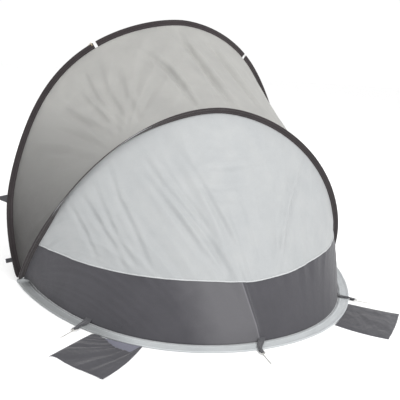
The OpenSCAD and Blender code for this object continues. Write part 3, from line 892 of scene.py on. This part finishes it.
def make_pocket(side):
    k = POCKETS[side]
    left = side == "left"
    seed = k["seed"]
    a, b = np.array(k["a"]) * HALF, np.array(k["b"]) * HALF
    out_a, out_b = k["out_a"], k["out_b"]
    length = float(np.linalg.norm(b - a))
    yv = (b - a) / length
    xv = np.array([yv[1], -yv[0]])
    if xv @ (a + b) < 0:
        xv = -xv

    def world(x, y, z):
        return np.stack([a[0] + x * xv[0] + y * yv[0], a[1] + x * xv[1] + y * yv[1], z], -1)

    ni, nj = 66, 70
    p = np.linspace(0, 1, ni)[:, None] + np.zeros((1, nj))  # along the seam
    q = np.linspace(0, 1, nj)[None, :] + np.zeros((ni, 1))  # away from the floor
    ix, iy = 0.0035 + 0.0085 * 4 * p * (1 - p), p * length  # the hem's own curve beyond its chord
    ox = out_a[0] * (1 - p) + out_b[0] * p - 0.006
    oy = out_a[1] * (1 - p) + out_b[1] * p
    # the free edges aren't straight
    ox = ox + k["uneven"] * noise_uv(p, q * 0, 5, 1, seed) + k["round_"] * np.sin(math.pi * p)
    if left:
        ox = ox + 0.017 * np.exp(-p / 0.030)

    def flat_at(t):
        """the flat cut at share t away from the floor"""
        return ix * (1 - t) + ox * t, iy * (1 - t) + oy * t

    def layer_at(t):
        x, y = flat_at(t)
        y = y + np.sin(math.pi * t) * (k["bow"][1] * p**2 - k["bow"][0] * (1 - p) ** 2)
        wave = 0.0016 * noise_uv(p, t, 3.5, 3.0, seed + 2) * step(t, 0.05, 0.3)
        curl = 0.004 * step(t, 0.82, 1.0) * np.clip(noise_uv(p, t, 4, 1, seed + 4) + 0.2, 0, 1)
        return x, y, POCKET_Z + np.clip(wave, 0, 1) + curl

    up = (30, 30, 2)
    under = cloth(f"pocket_{side}_under", world(*layer_at(q)), [LINING, POCKET], 0.0009, up)
    # upper layer: free edge sags away from the hem, folds run from the tied corner
    if left:
        start = 0.012 + 0.26 * step(p, 0.10, 0.74) * (1 - step(p, 0.88, 1.0))
    else:
        start = 0.012 + 0.012 * np.sin(math.pi * p)
    t = start + (1 - start) * q
    x, y, z = layer_at(t)
    rim = np.minimum(1, np.minimum(p, 1 - p) / 0.07) ** 0.6 * np.minimum(1, (1 - t) / 0.08) ** 0.6
    folds = crease(noise_uv(np.arctan2(1.02 - p, t + 0.05), t, 6.5, 0.7, seed + 1)) * k["fan"]
    folds = folds + noise_uv(p, t, 5, 6, seed + 8) * k["ripple"] + noise_uv(p, t, 14, 17, seed) * 0.0012
    puff = 0.0075 * np.sin(math.pi * p).clip(0, 1) ** 0.5
    puff = puff * (0.35 + 0.65 * np.sin(math.pi * np.clip(t * 0.9, 0, 1)))
    lip = 0.0065 * np.exp(-q / 0.06) * np.sin(math.pi * p) * k["lip"]
    z = z + POCKET_Z + np.maximum(puff + folds * 0.9, 0.0004) * rim + lip
    upper = cloth(f"pocket_{side}_upper", world(x, y, z), [POCKET], 0.0009, up)
    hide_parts("sand_pocket_" + side)
    cuts = []
    for o, share in ((upper, t), (under, q)):
        fx, fy = flat_at(share)
        set_blend(o)
        cuts.append((o, grid_area(world(fx, fy, 0 * p))))
    mean_w = (length + math.hypot(out_b[0] - out_a[0], out_b[1] - out_a[1])) / 2
    return cuts, round(mean_w, 3)


# ---------------------------------------------------------------- webbing straps
# middle of the webbing, metres outward and up: off the hem, through the ring and back under itself
STRAP_TOP = (
    (-0.058, 0.0200), (-0.050, 0.0135), (-0.040, 0.0105), (-0.022, 0.0098), (-0.006, 0.0104),
    (0.003, 0.0108), (0.012, 0.0100), (0.022, 0.0100), (0.030, 0.0107),
)
STRAP_TURN = (0.034, 0.0075, 0.0031)  # outward, up and radius of the turn in the ring
STRAP_UNDER = ((0.026, 0.0046), (0.018, 0.0048), (0.0105, 0.0056))
STRAP_HALF = 0.0088  # half width inside the ring


def make_strap(part, u, base, curl, seed, skew=0.0):
    """base: width on the hem, curl: how much it is gathered, skew: how far its end lies to one side"""
    edge = curve("back", np.array(u))
    _, out, _ = axes("back", np.array(u))
    c, o, t = edge * (1, 1, 0), out * (1, 1, 0), np.array([-out[1], out[0], 0.0])
    tx, tz, tr = STRAP_TURN
    turn = [(tx + tr * math.cos(x), tz + tr * math.sin(x)) for x in np.radians(np.linspace(75, -135, 16))]
    pts = np.array([*STRAP_TOP, *turn, *STRAP_UNDER])
    d = run_length(pts)
    s = np.linspace(0, d[-1], 110)
    line = np.stack([np.interp(s, d, pts[:, 0]), np.interp(s, d, pts[:, 1])], 1)
    for _ in range(3):
        line[1:-1] = (line[:-2] + 2 * line[1:-1] + line[2:]) / 4
    across = np.linspace(-1, 1, 17)
    free = 1 - step(s, 0.072, 0.086)[:, None]
    # wide at the hem, drawn together where it runs through the ring
    half = STRAP_HALF + (base / 2 - STRAP_HALF) * (1 - step(s, 0.018, 0.082))
    gather = curl * np.cos(across[None] * math.pi * 1.5) * step(s, 0.010, 0.045)[:, None] * free
    ripple = np.array([[noise.noise(Vector((x * 40, y * 1.4, seed))) for y in across] for x in s])
    up_by = line[:, 1:2] + (curl + gather + 0.0007 * ripple * free) * free
    side_ = across[None] * half[:, None] + (skew * (1 - step(s, -0.02, 0.080)))[:, None]
    g = c + line[:, None, 0:1] * o + up_by[..., None] * np.array([0, 0, 1]) + side_[..., None] * t
    obj = cloth(part + "_web", g, [WEB], 0.0015, (20, 8, 2))
    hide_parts(part)
    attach(obj, "floor")


# ---------------------------------------------------------------- corner patches
def make_corner(side):
    """a squarish pad, domed a little"""
    s = 1 if side == "left" else -1
    lo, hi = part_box("corner_patch_" + side)
    cx, cy = (lo.x + hi.x) / 2, (lo.y + hi.y) / 2
    hx, hy = (hi.x - lo.x) / 2, (hi.y - lo.y) / 2
    nu, nv = 72, 26
    th = np.linspace(0, 2 * math.pi, nu, endpoint=False)
    verts, uvs = [], []
    for j in range(nv):
        t = j / (nv - 1)
        r = math.sin(t * math.pi / 2) ** 0.8
        for x in th:
            px = math.copysign(abs(math.cos(x)) ** 0.45, math.cos(x)) * hx * r
            py = math.copysign(abs(math.sin(x)) ** 0.45, math.sin(x)) * hy * r
            # cloth gathers up round the hoop legs at the outer end
            knot = math.exp(-(((px * s) - (0.940 - abs(cx))) ** 2 / 0.00040 + (py + cy) ** 2 / 0.00050))
            z = 0.0052 * (1 - t**8) + 0.0012 * knot * (1 - t**4)
            z += 0.0009 * noise.noise(Vector((px * 60, py * 60, 3 + s))) * (1 - t**4)
            verts.append((cx + px, cy + py, max(z, 0.0004) + 0.0004))
            uvs.append((px, py))
    o = mesh_object("corner_cloth_" + side, verts, ring_faces(nv, nu), uvs, [HEM_PLAIN])
    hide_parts("corner_patch_" + side)
    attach(o, "floor")


# ---------------------------------------------------------------- the tie at the left gap
def tube(name, points, radius, mat):
    """a round cord through a row of points, as a mesh"""
    cu = bpy.data.curves.new(name, "CURVE")
    cu.dimensions = "3D"
    cu.bevel_depth = radius
    cu.bevel_resolution = 3
    cu.resolution_u = 8
    spline = cu.splines.new("NURBS")
    spline.points.add(len(points) - 1)
    for q, p in zip(spline.points, points):
        q.co = (*p, 1)
    spline.order_u = 4
    spline.use_endpoint_u = True
    o = bpy.data.objects.new(name, cu)
    bpy.context.scene.collection.objects.link(o)
    bpy.context.view_layer.update()
    dg = bpy.context.evaluated_depsgraph_get()
    me = bpy.data.meshes.new_from_object(o.evaluated_get(dg))
    bpy.data.objects.remove(o)
    m = bpy.data.objects.new(name, me)
    bpy.context.scene.collection.objects.link(m)
    uv = me.uv_layers.active or me.uv_layers.new(name="flat")
    uv.name = "flat"
    co = np.zeros(len(me.vertices) * 3)
    me.vertices.foreach_get("co", co)
    co = co.reshape(-1, 3)
    loops = np.zeros(len(me.loops), np.int32)
    me.loops.foreach_get("vertex_index", loops)
    places = np.stack([co[loops, 2], co[loops, 0] + co[loops, 1]], 1)
    uv.data.foreach_set("uv", places.astype(np.float32).ravel())
    me.materials.clear()
    me.materials.append(mat)
    me.polygons.foreach_set("use_smooth", [True] * len(me.polygons))
    return m


def make_tie():
    u = np.array(1 - GAP[0] + 0.0022)
    c = curve("front", u)
    a, o, n = axes("front", u)
    turns, wrap, knot = 3.2, 0.0062, 0.0035  # turns round the wire, their radius, radius of the knot
    pts = []
    for t in np.arange(44) / 43:
        x = 2 * math.pi * turns * t
        pts.append(c + a * (0.006 * (t - 0.5)) + o * wrap * math.cos(x) + n * wrap * math.sin(x))
    # a knot on the outside and a short end
    k = c + o * 0.0085
    for t in np.arange(16) / 15:
        x = 2 * math.pi * 1.5 * t
        pts.append(k + o * (knot * math.sin(x)) + a * (knot * math.cos(x)) + n * (0.006 * t - 0.001))
    for by_n, by_o, by_a in ((0.009, 0.002, -0.004), (0.012, 0.001, 0.010), (0.012, -0.004, 0.018)):
        pts.append(k + n * by_n + o * by_o + a * by_a)
    m = tube("gap_tie", pts, 0.0012, TWINE)
    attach(m, "front_hoop")


# ---------------------------------------------------------------- put it together
roof, roof_area = make_roof()
walls, tape = make_wall()
ground, ground_area = make_floor()

sleeve(
    "sleeve_rear", "rear", 0.0045, 0.9955, 620, seed=2.0, gathered=(0, 1),
    turn=fin_turn, full=0.0, pinch=0.35, ease=0.034,
)
sleeve("sleeve_front_left", "front", 1 - GAP[0], 0.9965, 330, seed=5.0, gathered=(1,))
sleeve("sleeve_front_top", "front", GAP[1], 1 - GAP[1], 180, seed=8.0)
sleeve("sleeve_front_right", "front", 0.0035, GAP[0], 330, seed=11.0, gathered=(0,))
hem_back = hem("hem_rear", "back", 0.004, 0.996, 520, width=HEM_W, seed=2.5)
hem_sill = hem("hem_front", "sill", 0.030, 0.970, 260, width=HEM_FRONT_W, seed=7.5)
for side in ("left", "right"):
    make_corner(side)
make_strap("strap_rear", 0.5, base=0.036, curl=0.0022, seed=1.0, skew=0.048)
make_strap("strap_left", 0.797, base=0.033, curl=0.0018, seed=3.0)
make_strap("strap_right", 0.203, base=0.026, curl=0.0018, seed=5.0)
pockets = [make_pocket(side) for side in ("left", "right")]
make_tie()

for material, nodes in (
    (STEEL, ("wire_rear", "wire_front", "wire_floor_rear", "wire_floor_front")),
    (BRIGHT, ("ring_rear", "ring_left", "ring_right", "peg_rear", "peg_left", "peg_right")),
    (COLLAR, ("gap_collar_left", "gap_collar_right")),
    (WEB, ("guy_tab_left", "guy_tab_right", "leg_loop_left", "leg_loop_right")),
):
    for node in nodes:
        finish_cad(node, material)

# ---------------------------------------------------------------- floor and light
bpy.context.scene.view_settings.view_transform = "Standard"
bpy.ops.mesh.primitive_plane_add(size=24, location=(0, 0, -0.0005))
studio_floor = bpy.context.object
studio_floor.name = "studio_floor"
g = Nodes("studio_floor")
g.p.inputs["Base Color"].default_value = (0.97, 0.97, 0.97, 1)
g.p.inputs["Roughness"].default_value = 0.9
studio_floor.data.materials.append(g.m)

world = bpy.data.worlds.new("studio")
bpy.context.scene.world = world
world.use_nodes = True
background = world.node_tree.nodes["Background"]
background.inputs["Color"].default_value = (1.0, 1.0, 1.0, 1)
background.inputs["Strength"].default_value = 1.02


def area_light(name, at_, aim, size, watts):
    d = bpy.data.lights.new(name, "AREA")
    d.shape = "DISK"
    d.size = size
    d.energy = watts
    o = bpy.data.objects.new(name, d)
    bpy.context.scene.collection.objects.link(o)
    o.location = at_
    o.rotation_mode = "QUATERNION"
    o.rotation_quaternion = (Vector(at_) - Vector(aim)).to_track_quat("Z", "Y")


area_light("key", (-1.6, 4.2, 4.0), aim=(0, 0.2, 0.4), size=1.2, watts=175)
area_light("fill", (4.2, 1.8, 2.4), aim=(0, 0.3, 0.4), size=3.0, watts=22)
area_light("front_glow", (-1.0, -3.6, 2.6), aim=(0, 0, 0.6), size=3.0, watts=60)
